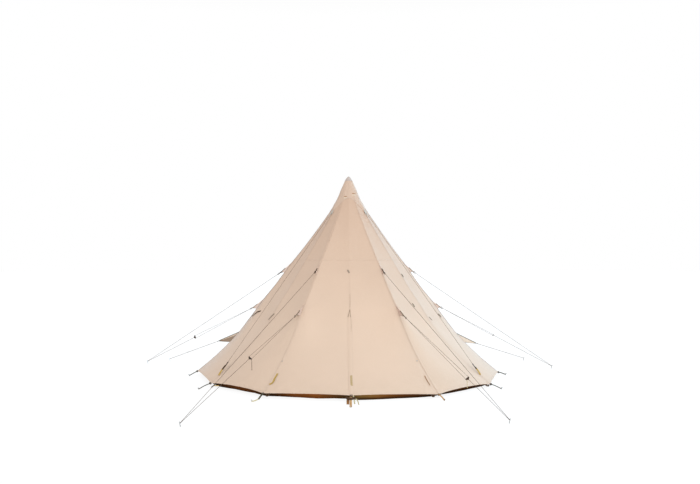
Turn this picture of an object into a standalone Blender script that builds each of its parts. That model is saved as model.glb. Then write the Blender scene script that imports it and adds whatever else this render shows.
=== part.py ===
"""A twelve-sided tipi tent of cotton canvas on one centre pole, with its guy lines, vent cap and pegs.

The origin is on the ground under the pole, +Z is up and the zipped door faces -Y. Seams are numbered from
0 at the door towards +X, 30 degrees apart. The odd seams are pulled out by guy lines, the even ones hang
slack between them, so the section goes from a regular twelve-sided hem to almost a hexagon at mid-height.
"""

import math

import bmesh
import bpy
from mathutils import Vector

SIDES = 12
GAP = 0.0003

# Walls: the radius of a guyed seam at its height, and that of a slack seam as a share of it
HEM_HEIGHT = 0.07
HEM_CORNER_RISE = (0.022, 0.008, 0.0, 0.0, 0.0, 0.0, 0.0)
HEM_RISE = (0.012, 0.016, 0.02, 0.02, 0.02, 0.02, 0.02, 0.02, 0.02, 0.02, 0.03, 0.012)
WALL_TOP = 3.42
WALL_INSET = 0.008
WALL_COLUMNS = 6
WALL_SAG = 0.016
SAG_FADE = 0.5
GUYED_SEAM = (
    (0.0, 2.832),
    (0.38, 2.385),
    (0.75, 2.02),
    (1.04, 1.795),
    (1.34, 1.575),
    (1.62, 1.35),
    (1.95, 1.11),
    (2.35, 0.80),
    (2.77, 0.495),
    (3.10, 0.275),
    (WALL_TOP, 0.120),
)
SLACK_SHARE = ((0.0, 0.982), (0.38, 0.955), (0.75, 0.925), (1.04, 0.90), (1.95, 0.89), (2.77, 0.94), (3.10, 1.0))
LEVELS = (0.0, 0.22, 0.38, 0.55, 0.70, 0.85, 1.00, 1.15, 1.30, 1.46, 1.62, 1.79, 1.97, 2.16, 2.35, 2.56)
LEVELS += (2.77, 2.94, 3.10, 3.26, WALL_TOP)

# Vent cap
CAP_TIP = 3.625
CAP_CORNER = 2.95
CAP_ARCH_TOP = 3.23
CAP_SIDE_TOP = 3.04
CAP_THICKNESS = 0.004
CAP_PROFILE = (
    (2.87, 0.455),
    (2.99, 0.380),
    (3.10, 0.310),
    (3.24, 0.222),
    (3.39, 0.150),
    (3.48, 0.103),
    (3.57, 0.057),
    (3.61, 0.025),
    (CAP_TIP, 0.0),
)
CAP_COLUMNS = 48
CAP_SEAMS = (2, 4, 8, 10)

# Centre pole
POLE_RADIUS = 0.0225
POLE_JOINT = 1.80
FOOT_RADIUS = 0.075
FOOT_HEIGHT = 0.03
HEAD_DROP = 0.12
HEAD_SHOULDER = 0.05
HEAD_NECK_RADIUS = 0.035

# Guy lines: seam number, name, peg angle in degrees from the door and peg distance from the pole
UPPER_GUY = 1.97
LOWER_GUY = 1.30
TAB_LENGTH = 0.18
TAB_HALF_BASE = 0.08
GUY_WIDTH = 0.006
GUYS = (
    (1, "front_right", 25.9, 4.80),
    (3, "right", 100.8, 3.98),
    (5, "rear_right", 153.0, 4.90),
    (7, "rear_left", 207.0, 4.90),
    (9, "left", 248.9, 4.28),
    (11, "front_left", 332.9, 5.01),
)
PEG_RADIUS = 0.006
PEG_HEIGHT = 0.075
PEG_LEAN = 0.35
PEG_HITCH = 0.05

# Vent hoods: panel number, name, peg angle and peg distance
HOOD_LEVELS = (0.55, 0.85)
HOOD_TIP_REACH = 2.57
HOOD_TIP_HEIGHT = 0.52
HOOD_THICKNESS = 0.004
HOOD_FEET = (1 / 6, 5 / 6)
HOOD_SWELL = 0.02
HOODS = ((3, "right", 117.6, 4.08), (8, "left", 242.4, 4.08))

# Zip flap over the door seam, mud skirt, webbing and cords
FLAP_LEVELS = (0.14, 0.22, 0.38, 0.55, 0.70, 0.85, 1.00, 1.15, 1.25)
FLAP_HALF_WIDTH = 0.04
FLAP_THICKNESS = 0.003
SKIRT_RADIUS = 2.43
SKIRT_FOOT = 0.02
STRAP_WIDTH = 0.028
STRAP_REACH = (0.45, 0.31, 0.24, 0.15, 0.17, 0.17, 0.17, 0.17, 0.17, 0.16, 0.21, 0.36)
STRAP_RISE = 0.02
ANCHOR_HEAD = (
    (-0.030, 0.030),
    (-0.004, 0.028),
    (0.010, 0.047),
    (0.018, 0.044),
    (0.004, 0.012),
    (0.002, 0.0),
    (-0.010, 0.0),
    (-0.014, 0.018),
    (-0.040, 0.024),
)
CORD_RADIUS = 0.003
CORD_FOOT = 0.185

CANVAS = ((0.78, 0.63, 0.50), 0.9, 0.0)
CANVAS_CAP = ((0.72, 0.58, 0.46), 0.9, 0.0)
SKIRT_CLOTH = ((0.12, 0.07, 0.035), 0.8, 0.0)
WEBBING = ((0.55, 0.36, 0.14), 0.85, 0.0)
LINE = ((0.13, 0.11, 0.10), 0.8, 0.0)
METAL = ((0.62, 0.62, 0.63), 0.35, 1.0)
PLASTIC = ((0.05, 0.05, 0.05), 0.5, 0.0)


def along(points, key):
    """The value at key on a line of (key, value) points, level past its end."""
    key = min(key, points[-1][0])
    for (key_a, value_a), (key_b, value_b) in zip(points, points[1:]):
        if key <= key_b:
            break
    return value_a + (value_b - value_a) * (key - key_a) / (key_b - key_a)


def smooth(points, key):
    """The value at key on a smooth curve through (key, value) points."""
    slopes = [(after[1] - before[1]) / (after[0] - before[0]) for before, after in zip(points, points[1:])]
    slopes = [slopes[0]] + [(one + two) / 2 for one, two in zip(slopes, slopes[1:])] + [slopes[-1]]
    place = max(index for index in range(len(points) - 1) if points[index][0] <= key or index == 0)
    (key_a, value_a), (key_b, value_b) = points[place], points[place + 1]
    step = key_b - key_a
    way = (key - key_a) / step
    bend_a = way * (1 - way) ** 2 * step * slopes[place]
    bend_b = way**2 * (1 - way) * step * slopes[place + 1]
    return value_a + (value_b - value_a) * way**2 * (3 - 2 * way) + bend_a - bend_b


def polar(degrees, radius, height):
    """A point at an angle from the door towards +X."""
    angle = math.radians(degrees)
    return Vector((radius * math.sin(angle), -radius * math.cos(angle), height))


def seam_angle(seam):
    return 360.0 / SIDES * seam


def level_radii(slack):
    """(height, radius) of a seam at each level of the wall."""
    return [(level, smooth(GUYED_SEAM, level) * (along(SLACK_SHARE, level) if slack else 1.0)) for level in LEVELS]


GUYED_RADII = level_radii(slack=False)
SLACK_RADII = level_radii(slack=True)


def seam_radius(seam, height):
    """Straight between the levels, as the wall's own edges are."""
    return along(GUYED_RADII if seam % 2 else SLACK_RADII, height)


def seam_point(seam, height, clear=0.0):
    return polar(seam_angle(seam), seam_radius(seam, height) + clear, height)


def wall_point(panel, across, height, inset=0.0):
    """A point on a panel: across runs from 0 at its first seam to 1 at its next, and the middle sags in."""
    start = seam_point(panel, height, -inset) + polar(seam_angle(panel) + 90, GAP / 2, 0)
    end = seam_point(panel + 1, height, -inset) - polar(seam_angle(panel + 1) + 90, GAP / 2, 0)
    tight = min(1.0, (WALL_TOP - height) / SAG_FADE)
    sag = (end - start).length * WALL_SAG * 4 * across * (1 - across) * tight
    return start.lerp(end, across) - polar(seam_angle(panel + 0.5), sag, 0)


def corner_height(seam):
    """The hem's height at a seam: highest at the door, whose straps are the longest."""
    return HEM_HEIGHT + HEM_CORNER_RISE[min(seam % SIDES, SIDES - seam % SIDES)]


def hem_height(panel, across):
    """The hem's height on a panel: it arches a little between its two pegged corners."""
    start, end = corner_height(panel), corner_height(panel + 1)
    return start + (end - start) * across + HEM_RISE[panel % SIDES] * (1 - abs(2 * across - 1) ** 2.5)


def material(name, look):
    made = bpy.data.materials.get(name)
    if made is None:
        colour, roughness, metallic = look
        made = bpy.data.materials.new(name)
        made.use_nodes = True
        shader = made.node_tree.nodes["Principled BSDF"]
        shader.inputs["Base Color"].default_value = (*colour, 1.0)
        shader.inputs["Roughness"].default_value = roughness
        shader.inputs["Metallic"].default_value = metallic
    return made


def loft(name, loops, look_name, look, around=False):
    """One closed body through loops of equal length: joined end to start, or capped at both ends.

    The second half of each loop runs back along the first, so its faces are split on the other diagonal:
    then the two sides of a thin bent sheet stay parallel.
    """
    shape = bmesh.new()
    rings = [[shape.verts.new(point) for point in loop] for loop in loops]
    pairs = list(zip(rings, rings[1:]))
    if around:
        pairs.append((rings[-1], rings[0]))
    else:
        shape.faces.new(rings[0])
        shape.faces.new(reversed(rings[-1]))
    for ring, following in pairs:
        for index in range(len(ring)):
            after = (index + 1) % len(ring)
            corners = [ring[index], following[index], following[after], ring[after]]
            if index >= len(ring) // 2:
                corners.append(corners.pop(0))
            shape.faces.new(corners[:3])
            shape.faces.new((corners[2], corners[3], corners[0]))
    bmesh.ops.remove_doubles(shape, verts=shape.verts, dist=0.00001)
    bmesh.ops.recalc_face_normals(shape, faces=shape.faces)
    mesh = bpy.data.meshes.new(name)
    shape.to_mesh(mesh)
    shape.free()
    mesh.materials.append(material(look_name, look))
    made = bpy.data.objects.new(name, mesh)
    bpy.context.scene.collection.objects.link(made)
    return made


def wall_panel(panel):
    """One gore, from the hem to the pole head."""
    loops = []
    for column in range(WALL_COLUMNS + 1):
        across = column / WALL_COLUMNS
        heights = [hem_height(panel, across), *LEVELS[1:]]
        outside = [wall_point(panel, across, height) for height in heights]
        inside = [wall_point(panel, across, height, WALL_INSET) for height in reversed(heights)]
        loops.append(outside + inside)
    loft(f"wall_panel_{panel + 1:02d}", loops, "canvas", CANVAS)


def hem_skirt():
    """The mud skirt: a band from the hem down to a circle on the ground, tucked in under the tent."""
    loops = []
    drop = Vector((0, 0, -GAP))
    for panel in range(SIDES):
        for column in range(WALL_COLUMNS):
            across = column / WALL_COLUMNS
            top = hem_height(panel, across)
            degrees = seam_angle(panel + across)
            outer = wall_point(panel, across, top) + drop
            inner = wall_point(panel, across, top, WALL_INSET) + drop
            foot = [polar(degrees, SKIRT_RADIUS - thick, 0) for thick in (SKIRT_FOOT, 0)]
            loops.append([outer, inner, *foot])
    loft("hem_skirt", loops, "skirt_cloth", SKIRT_CLOTH, around=True)


def cap_edge(degrees):
    """The height of the cap's edge: low at its four corners, arched between them."""
    corners = [seam_angle(seam) for seam in CAP_SEAMS]
    turned = (degrees - corners[-1]) % 360
    spans = [(corners[0] - corners[-1]) % 360] + [after - before for before, after in zip(corners, corners[1:])]
    for span in spans:
        if turned <= span:
            break
        turned -= span
    top = CAP_ARCH_TOP if span > 90 else CAP_SIDE_TOP
    return CAP_CORNER + (top - CAP_CORNER) * math.sin(math.pi * turned / span) ** 0.8


def vent_cap():
    """The pointed hood over the open top, pulled down at four corners."""
    loops = []
    inset = CAP_THICKNESS * 1.6
    rows = len(CAP_PROFILE)
    for column in range(CAP_COLUMNS):
        degrees = 360 * column / CAP_COLUMNS
        from_seam = (degrees + 15) % 30 - 15
        flat = math.cos(math.radians(15)) / math.cos(math.radians(15 - abs(from_seam)))
        edge = cap_edge(degrees)
        upper = [height for height, _ in CAP_PROFILE if height > CAP_ARCH_TOP]
        lower = [edge + (upper[0] - edge) * step / (rows - len(upper)) for step in range(rows - len(upper))]
        heights = lower + upper
        outside = [polar(degrees, along(CAP_PROFILE, height) * flat, height) for height in heights]
        inside = []
        for height in reversed(heights):
            radius = max(along(CAP_PROFILE, height) * flat - inset, 0.0)
            inside.append(polar(degrees, radius, height - 2.5 * CAP_THICKNESS * (radius == 0.0)))
        loops.append(outside + inside)
    loft("vent_cap", loops, "canvas_cap", CANVAS_CAP, around=True)


def turned_piece(name, outline, look_name, look, sides=24):
    """A round piece about the Z axis, from (radius, height) points from the bottom centre to the top centre."""
    loops = []
    for side in range(sides):
        loops.append([polar(360 * side / sides, radius, height) for radius, height in outline])
    made = loft(name, loops, look_name, look, around=True)
    made.data.shade_smooth()
    made.data.set_sharp_from_angle(angle=math.radians(40))


def centre_pole():
    """Foot, two tubes and a head that carries the walls and the cap."""
    turned_piece(
        "pole_foot",
        [(0, 0), (FOOT_RADIUS, 0), (FOOT_RADIUS, 0.012), (0.04, FOOT_HEIGHT), (0, FOOT_HEIGHT)],
        "plastic",
        PLASTIC,
    )
    low = FOOT_HEIGHT + GAP
    lower = [(0, low), (POLE_RADIUS, low), (POLE_RADIUS, POLE_JOINT), (0, POLE_JOINT)]
    turned_piece("pole_lower_tube", lower, "pole_metal", METAL)
    low = POLE_JOINT + GAP
    high = WALL_TOP - HEAD_DROP
    upper = [(0, low), (POLE_RADIUS - 0.002, low), (POLE_RADIUS - 0.002, high), (0, high)]
    turned_piece("pole_upper_tube", upper, "pole_metal", METAL)
    base = high + GAP
    shoulder = WALL_TOP - HEAD_SHOULDER
    outline = [
        (0, base),
        (HEAD_NECK_RADIUS, base),
        (seam_radius(1, shoulder) - WALL_INSET - 2 * GAP, shoulder),
        (seam_radius(1, WALL_TOP) - WALL_INSET - 2 * GAP, WALL_TOP),
        (0.07, WALL_TOP + 0.02),
        (0.02, CAP_TIP - 0.05),
        (0, CAP_TIP - 2.5 * CAP_THICKNESS - 2 * GAP),
    ]
    turned_piece("pole_head", outline, "plastic", PLASTIC, sides=SIDES)


def peg(name, degrees, distance):
    """The stub of a ground peg above the soil, leaning away from the tent."""
    loops = []
    for height in (0.0, PEG_HEIGHT - 0.012, PEG_HEIGHT):
        centre = polar(degrees, distance + PEG_LEAN * height, height)
        radius = PEG_RADIUS if height < PEG_HEIGHT else PEG_RADIUS * 0.6
        loops.append([centre + polar(45 * step, radius, 0) for step in range(8)])
    made = loft(name, loops, "peg_metal", METAL)
    made.data.shade_smooth()
    made.data.set_sharp_from_angle(angle=math.radians(50))


def hitch(degrees, distance, towards):
    """Where a line meets the tent's side of a peg."""
    centre = polar(degrees, distance + PEG_LEAN * PEG_HITCH, PEG_HITCH)
    level = Vector((towards.x - centre.x, towards.y - centre.y, 0)).normalized()
    return centre + level * (PEG_RADIUS + 2 * GAP)


def slab(name, outline, normal, thickness, look_name, look):
    """A flat outline with a thickness."""
    half = normal.normalized() * thickness / 2
    loft(name, [[point - half for point in outline], [point + half for point in outline]], look_name, look)


def guy_pair(seam, name, degrees, distance):
    """Two taut lines from one seam to one peg, each with its gusset tab at the seam."""
    upper = seam_point(seam, UPPER_GUY)
    lower = seam_point(seam, LOWER_GUY)
    end = hitch(degrees, distance, lower)
    normal = (end - upper).cross(end - lower).normalized()
    outward = polar(seam_angle(seam), 1, 0)
    clear = outward * (GUY_WIDTH / 2 * abs(normal.dot(outward)) + 1.5 * GAP)
    upper += clear
    lower += clear
    upper_way = (end - upper).normalized()
    lower_way = (end - lower).normalized()
    upper_side = normal.cross(upper_way)
    if upper_side.dot(upper - lower) < 0:
        upper_side = -upper_side
    lower_side = normal.cross(lower_way)
    if lower_side.dot(upper - lower) < 0:
        lower_side = -lower_side
    half = GUY_WIDTH / 2
    spread = math.sin(upper_way.angle(lower_way) / 2)
    crotch = end - (upper_way + lower_way).normalized() * half / spread * 1.02
    base = {}
    for guy in (UPPER_GUY, LOWER_GUY):
        for turn in (1, -1):
            point = seam_point(seam, guy + turn * TAB_HALF_BASE) + clear * 1.5
            base[guy, turn] = point - normal * normal.dot(point - upper)
    outline = [
        upper,
        base[UPPER_GUY, 1],
        upper + upper_way * TAB_LENGTH + upper_side * half,
        end + upper_side * half,
        end - lower_side * half,
        lower + lower_way * TAB_LENGTH - lower_side * half,
        base[LOWER_GUY, -1],
        lower,
        base[LOWER_GUY, 1],
        lower + lower_way * TAB_LENGTH + lower_side * half,
        crotch,
        upper + upper_way * TAB_LENGTH - upper_side * half,
        base[UPPER_GUY, -1],
    ]
    slab(f"guy_pair_{name}", outline, normal, GUY_WIDTH, "line", LINE)
    peg(f"guy_peg_{name}", degrees, distance)


def line(name, start, end, radius):
    """A straight taut cord."""
    way = (end - start).normalized()
    side = way.orthogonal().normalized() * radius
    over = way.cross(side)
    circle = [math.cos(math.pi * step / 4) * side + math.sin(math.pi * step / 4) * over for step in range(8)]
    loft(name, [[start + offset for offset in circle], [end + offset for offset in circle]], "line", LINE)


def vent_hood(panel, name, degrees, distance):
    """A small awning over a low vent, with the line that holds its tip out."""
    low, high = HOOD_LEVELS
    middle = seam_angle(panel + 0.5)
    outward = polar(middle, 1, 0.7).normalized()
    clear = outward * 3 * GAP
    top = wall_point(panel, 0.5, high) + clear
    feet = [wall_point(panel, across, low) + clear for across in HOOD_FEET]
    tip = polar(middle, HOOD_TIP_REACH, HOOD_TIP_HEIGHT)
    bends = [(top + foot) / 2 + outward * HOOD_SWELL for foot in feet]
    inwards = (feet[1] - feet[0]).normalized() * HOOD_THICKNESS
    downwards = (wall_point(panel, 0.5, low) - wall_point(panel, 0.5, high)).normalized() * HOOD_THICKNESS * 1.5
    tip_shift = Vector((0, 0, -HOOD_THICKNESS * 1.3)) - outward * 0.004
    outer = [feet[0], bends[0], top, bends[1], feet[1], tip]
    shifts = [inwards, inwards, downwards, -inwards, -inwards, tip_shift]
    shape = bmesh.new()
    rows = [
        [shape.verts.new(point) for point in outer],
        [shape.verts.new(point + shift) for point, shift in zip(outer, shifts)],
    ]
    for row, turn in ((rows[0], 1), (rows[1], -1)):
        for trio in ((0, 1, 5), (1, 2, 5), (2, 3, 5), (3, 4, 5)):
            shape.faces.new([row[index] for index in trio][::turn])
    for index in range(6):
        after = (index + 1) % 6
        shape.faces.new((rows[0][index], rows[1][index], rows[1][after], rows[0][after]))
    bmesh.ops.recalc_face_normals(shape, faces=shape.faces)
    mesh = bpy.data.meshes.new(f"vent_hood_{name}")
    shape.to_mesh(mesh)
    shape.free()
    mesh.materials.append(material("canvas", CANVAS))
    bpy.context.scene.collection.objects.link(bpy.data.objects.new(f"vent_hood_{name}", mesh))
    end = hitch(degrees, distance, tip)
    start = tip + (end - tip).normalized() * 2 * GAP
    line(f"vent_guy_{name}", start, end - (end - start).normalized() * GAP, 0.002)
    peg(f"vent_peg_{name}", degrees, distance)


def cap_cord(seam, name):
    """A straight cord from a corner of the cap to the hem corner below it."""
    degrees = seam_angle(seam)
    start = polar(degrees, along(CAP_PROFILE, CAP_CORNER) + GAP, CAP_CORNER - 0.75 * CORD_RADIUS - GAP)
    end = seam_point(seam, CORD_FOOT, 1.5 * (CORD_RADIUS + 2 * GAP))
    line(f"cap_cord_{name}", start, end, CORD_RADIUS)


def zip_flap():
    """The storm flap over the door zip, on the front seam."""
    loops = []
    for height in FLAP_LEVELS:
        width = (wall_point(0, 1, height) - wall_point(0, 0, height)).length
        across = FLAP_HALF_WIDTH / width
        forward = Vector((0, -1, 0))
        ridge = seam_point(0, height) + forward * 1.5 * GAP
        left = wall_point(SIDES - 1, 1 - across, height) + forward * 0.003
        right = wall_point(0, across, height) + forward * 0.003
        out = forward * FLAP_THICKNESS
        loops.append([left, ridge, right, right + out, ridge + out * 1.5, left + out])
    loft("door_zip_flap", loops, "canvas", CANVAS)


def hem_anchor(corner):
    """A webbing loop from a hem corner to its own ground peg, as one piece."""
    degrees = seam_angle(corner)
    top = corner_height(corner) + STRAP_RISE
    contact = seam_radius(corner, top) + 1.5 * GAP
    reach = seam_radius(corner, HEM_HEIGHT) + STRAP_REACH[corner]
    outline = [
        (contact, top),
        (contact + 0.006, top + 0.002),
        *[(reach + outwards, height) for outwards, height in ANCHOR_HEAD],
        (contact + 0.014, top - 0.008),
    ]
    side = polar(degrees + 90, STRAP_WIDTH / 2, 0)
    loops = [[polar(degrees, radius, height) + side * way for radius, height in outline] for way in (-1, 1)]
    loft(f"hem_anchor_{corner + 1:02d}", loops, "webbing", WEBBING)


def clear_scene():
    for old in list(bpy.data.objects):
        bpy.data.objects.remove(old)


clear_scene()
for number in range(SIDES):
    wall_panel(number)
    hem_anchor(number)
hem_skirt()
vent_cap()
centre_pole()
zip_flap()
for seam_number, side_name, peg_angle, peg_distance in GUYS:
    guy_pair(seam_number, side_name, peg_angle, peg_distance)
for panel_number, side_name, peg_angle, peg_distance in HOODS:
    vent_hood(panel_number, side_name, peg_angle, peg_distance)
for seam_number, side_name in zip(CAP_SEAMS, ("front_right", "rear_right", "rear_left", "front_left")):
    cap_cord(seam_number, side_name)
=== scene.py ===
import math

import bmesh
import bpy
from mathutils import Matrix, Vector, noise


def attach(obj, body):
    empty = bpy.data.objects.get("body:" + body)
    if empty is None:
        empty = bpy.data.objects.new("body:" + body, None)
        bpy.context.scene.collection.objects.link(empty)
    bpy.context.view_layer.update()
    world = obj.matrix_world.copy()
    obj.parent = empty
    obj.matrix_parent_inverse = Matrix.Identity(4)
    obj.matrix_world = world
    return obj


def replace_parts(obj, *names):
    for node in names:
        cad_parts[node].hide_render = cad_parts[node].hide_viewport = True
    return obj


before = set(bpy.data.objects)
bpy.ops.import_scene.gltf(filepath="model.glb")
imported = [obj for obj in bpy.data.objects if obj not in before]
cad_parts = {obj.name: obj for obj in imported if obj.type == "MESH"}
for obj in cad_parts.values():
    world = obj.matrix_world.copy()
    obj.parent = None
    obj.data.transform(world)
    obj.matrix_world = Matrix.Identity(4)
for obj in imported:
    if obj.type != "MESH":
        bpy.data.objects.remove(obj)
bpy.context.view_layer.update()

# Seams are numbered as in the frame: 0 at the door (-Y), 30 degrees apart towards +X, the odd ones guyed.
# A place counts seams round the tent, so 0.5 is the middle of the first panel. Sizes are in metres and
# repeat the frame's own.
SIDES = 12
SEAM_STEP = 360 / SIDES
HEM_HEIGHT = 0.07
HEM_CORNER_RISE = (0.022, -0.012, -0.020, -0.022, -0.010, 0.0, 0.0, 0.0, 0.0, 0.010, 0.004, 0.008)
HEM_RISE = (0.012, 0.030, *[0.02] * 8, 0.03, 0.012)
WALL_TOP = 3.42
WALL_SWELL = ((HEM_HEIGHT, 0.016), (0.55, 0.003), (1.1, -0.016), (2.92, -0.016), (WALL_TOP, 0.0))
# Guyed seams as (height, radius), and the other seams' share of that radius by height
GUYED_SEAM = (
    (0.0, 2.832), (0.38, 2.385), (0.75, 2.02), (1.04, 1.795), (1.34, 1.575), (1.62, 1.35),
    (1.95, 1.11), (2.35, 0.80), (2.77, 0.495), (3.10, 0.275), (WALL_TOP, 0.120),
)
SLACK_SHARE = (
    (0.0, 0.982), (0.38, 0.955), (0.75, 0.925), (1.04, 0.90), (1.95, 0.89), (2.77, 0.94), (3.10, 1.0),
)
# How much further out the pegs hold some seams, fading out over SPREAD_FADE below SPREAD_TOP
SPREAD = (0.0, 0.0, 0.020, -0.030, -0.020, 0.0, 0.0, 0.0, 0.01, 0.025, 0.015, 0.0)
SPREAD_TOP = 2.8
SPREAD_FADE = 1.2
CLOTH_PER_HEIGHT = 1.28
BODICE_SEAM = 2.12
DOOR_SEAM_TOP = 1.93
TAPE_WIDTH = 0.024
TAPE_THICK = 0.0006
BODICE_THICK = 0.0009
WALL_COLUMNS = 20
WALL_ROWS = 112
GORE_PITCH = 2.0
# How far to each side of a seam its crease is rounded, as a share of the panel, by height
SOFT_CREASE = ((0.25, 0.5), (0.45, 0.38), (0.83, 0.28), (1.35, 0.10), (1.6, 0.0))

CAP_TIP = 3.64
CAP_TIP_CLOTH = 3.555
CAP_CORNER = 2.95
CAP_ARCH_TOP = 3.23
CAP_SIDE_TOP = 3.04
CAP_PROFILE = (
    (2.87, 0.432), (2.99, 0.352), (3.10, 0.287), (3.24, 0.202), (3.39, 0.143),
    (3.48, 0.103), (3.57, 0.060), (3.615, 0.032), (CAP_TIP, 0.002),
)
# Seam and name of each corner of the cap, and the length of the straps below its cord
CAP_CORNERS = (
    (2, "front_right", 0.225), (4, "rear_right", 0.27), (8, "rear_left", 0.27), (10, "front_left", 0.27),
)
CAP_SEAMS = [seam for seam, _, _ in CAP_CORNERS]
# Stitched bars on the cap: degrees from the door, height, length in degrees and look
CAP_BARS = (
    (-18, 3.263, 14, "rust"), (-18, 3.238, 14, "thread"), (33, 3.316, 24, "rust"), (33, 3.290, 24, "thread"),
)
# The cap leaves the walls over this height above its edge, and its cloth is laid out at this radius
CAP_BLEND = 0.12
CAP_CLOTH_RADIUS = 0.4
CORD_RADIUS = 0.003
CORD_FOOT = 0.185
CORD_STRAP_WIDTH = 0.032
YELLOW_STRAP = 0.11

UPPER_GUY = 1.97
LOWER_GUY = 1.30
# Seam, name, peg angle, peg distance, reach of the upper and the lower tab, look of the upper tab's webbing,
# the slider's share of its line and size, and the length and look of the line's tail
GUYS = (
    (1, "front_right", 25.9, 4.80, 0.15, 0.31, "umber", 0.641, 0.036, 0.10, "straw"),
    (3, "right", 100.8, 3.98, 0.165, 0.16, "dun", 0.455, 0.016, 0.0, None),
    (5, "rear_right", 153.0, 4.90, 0.15, 0.22, "umber", 0.50, 0.030, 0.07, "line"),
    (7, "rear_left", 207.0, 4.90, 0.15, 0.22, "umber", 0.60, 0.030, 0.0, None),
    (9, "left", 248.9, 4.28, 0.235, 0.22, "umber", 0.52, 0.036, 0.0, None),
    (11, "front_left", 332.9, 5.01, 0.12, 0.26, "umber", 0.443, 0.036, 0.14, "line"),
)
TAB_HALF_BASE = 0.10
# How much of a tab's reach its gusset takes, and how far out a slider's holes are
GUSSET_SHARE = 0.70
HOLE_SHARE = 0.72
SLIDER_FACING = Vector((0, -1, 0.15))
LINE_RADIUS = 0.0028
KNOT_SIZE = 0.0042
PEG_RADIUS = 0.006
PEG_LEAN = 0.35
PEG_HITCH = 0.05
HOOK_RADIUS = 0.0032

HOOD_LEVELS = (0.59, 0.89)
HOOD_FEET = (1 / 6, 5 / 6)
# How much of the way to its tip the hood's cloth reaches
HOOD_REACH = 0.985
HOOD_RIDGE_RADIUS = 0.008
HOOD_SLIDER_SHARE = 0.6
HOOD_SLIDER_SIZE = 0.016
# Panel, name, peg angle, peg distance, and how far out and how high the tip is held
HOODS = ((3, "right", 117.6, 4.08, 2.55, 0.495), (8, "left", 242.4, 4.08, 2.56, 0.55))

FLAP_BOTTOM = 0.10
FLAP_TOP = 1.25
FLAP_HALF_WIDTH = 0.04
# The mud skirt: the cloth's width for one panel, its height, and where its foot stands as (place, radius)
SKIRT_PANEL = 1.43
SKIRT_HIGH = 0.17
SKIRT_FOOT = (
    (0.0, 2.45), (0.07, 2.56), (0.53, 2.53), (0.84, 2.58), (1.0, 2.60), (1.15, 2.54), (1.46, 2.52),
    (1.75, 2.53), (2.0, 2.58), *[(2.5 + step / 2, 2.55 if step % 2 else 2.46) for step in range(15)],
    (10.0, 2.53), (10.3, 2.44), (10.7, 2.45), (10.95, 2.56), (11.11, 2.49), (11.37, 2.45), (11.6, 2.47),
    (11.8, 2.42), (12.0, 2.45),
)

# Straps on the walls: look, width and (place, height) spots
SEWN_STRAPS = (
    ("khaki", 0.032, ((0.006, 0.345), (0.006, 0.28), (0.008, 0.21))),
    ("ochre", 0.030, ((-0.955, 0.345), (-0.957, 0.28), (-0.955, 0.222), (-0.982, 0.195))),
    ("rust", 0.012, ((0.955, 0.31), (0.95, 0.24), (0.955, 0.18))),
    ("tan", 0.0025, ((0.006, 1.56), (0.008, 1.45), (0.0, 1.34))),
    ("tan", 0.0025, ((0.012, 1.22), (0.022, 1.10), (0.018, 0.96))),
    ("umber", 0.026, ((-2.72, 1.19), (-2.84, 1.16), (-2.95, 1.08))),
    ("dun", 0.026, ((-1.96, 1.19), (-2.0, 1.14), (-2.06, 1.08))),
    ("olive", 0.020, ((1.72, 1.37), (1.73, 1.31))),
    ("olive", 0.022, ((2.06, 1.87), (2.07, 1.81))),
    ("dun", 0.024, ((2.10, 1.12), (2.14, 1.08), (2.18, 1.06))),
    ("olive", 0.034, ((2.80, 1.13), (2.84, 1.07))),
    ("ochre", 0.026, ((5.025, 0.345), (5.01, 0.27), (5.0, 0.20))),
    ("ochre", 0.026, ((6.975, 0.345), (6.99, 0.27), (7.0, 0.20))),
)
EYELET_HEIGHT = 0.52
EYELETS = (-0.98, 0.96, 3.03, 5.03, 6.97, 8.97)
# Seams with a loop and a toggle, the height of each, and the loop's length
TOGGLE_SEAMS = (0, 4, 6, 8)
TOGGLE_HEIGHT = 1.93
LOOP_HEIGHT = 1.31
LOOP_LONG = 0.12
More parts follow.
